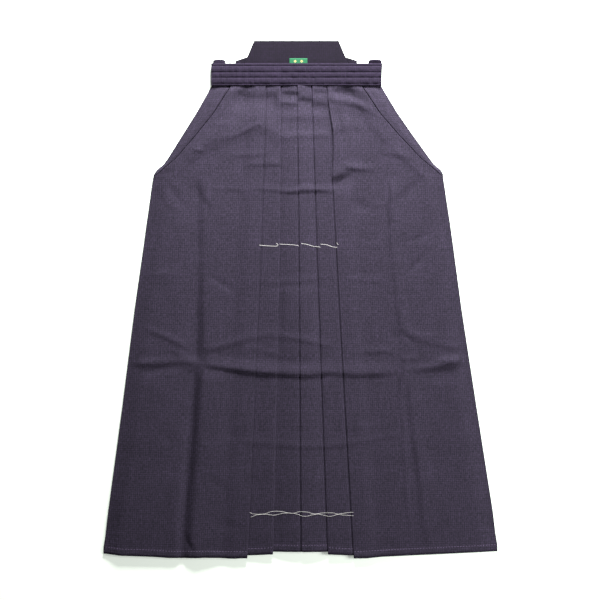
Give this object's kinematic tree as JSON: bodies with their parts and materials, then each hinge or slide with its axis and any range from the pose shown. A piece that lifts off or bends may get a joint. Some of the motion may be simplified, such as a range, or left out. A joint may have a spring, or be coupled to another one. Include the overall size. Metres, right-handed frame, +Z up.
{
  "type": "pleated divided trousers",
  "caption": "Dark navy pleated divided trousers with a stitched waist band, folded ties and a stiff back board, laid flat with the front up.",
  "frame": {"origin": "middle of the garment's bounding box, on the surface that it lies on", "axes": "+Y from the hem to the waist, +Z up out of the front of the garment, +X to the right as the front is looked at"},
  "size_m": [0.76, 0.9974, 0.0127],
  "materials": {
    "trouser_cloth": "matt plain weave",
    "band_cloth": "matt plain weave, stitched in ridges",
    "board_cloth": "matt plain weave over a stiff board",
    "label_satin": "woven satin"
  },
  "bodies": {
    "root": {"back_leg_left": "trouser_cloth", "back_leg_right": "trouser_cloth", "front_leg_left": "trouser_cloth", "front_leg_right": "trouser_cloth", "leaf_fold_left": "trouser_cloth", "leaf_fold_right": "trouser_cloth", "crotch_gusset": "trouser_cloth", "front_band": "band_cloth", "front_tie_left": "band_cloth", "front_tie_right": "band_cloth", "back_tie_left": "band_cloth", "back_tie_right": "band_cloth", "back_board": "board_cloth", "woven_label": "label_satin"}
  },
  "joints": []
}
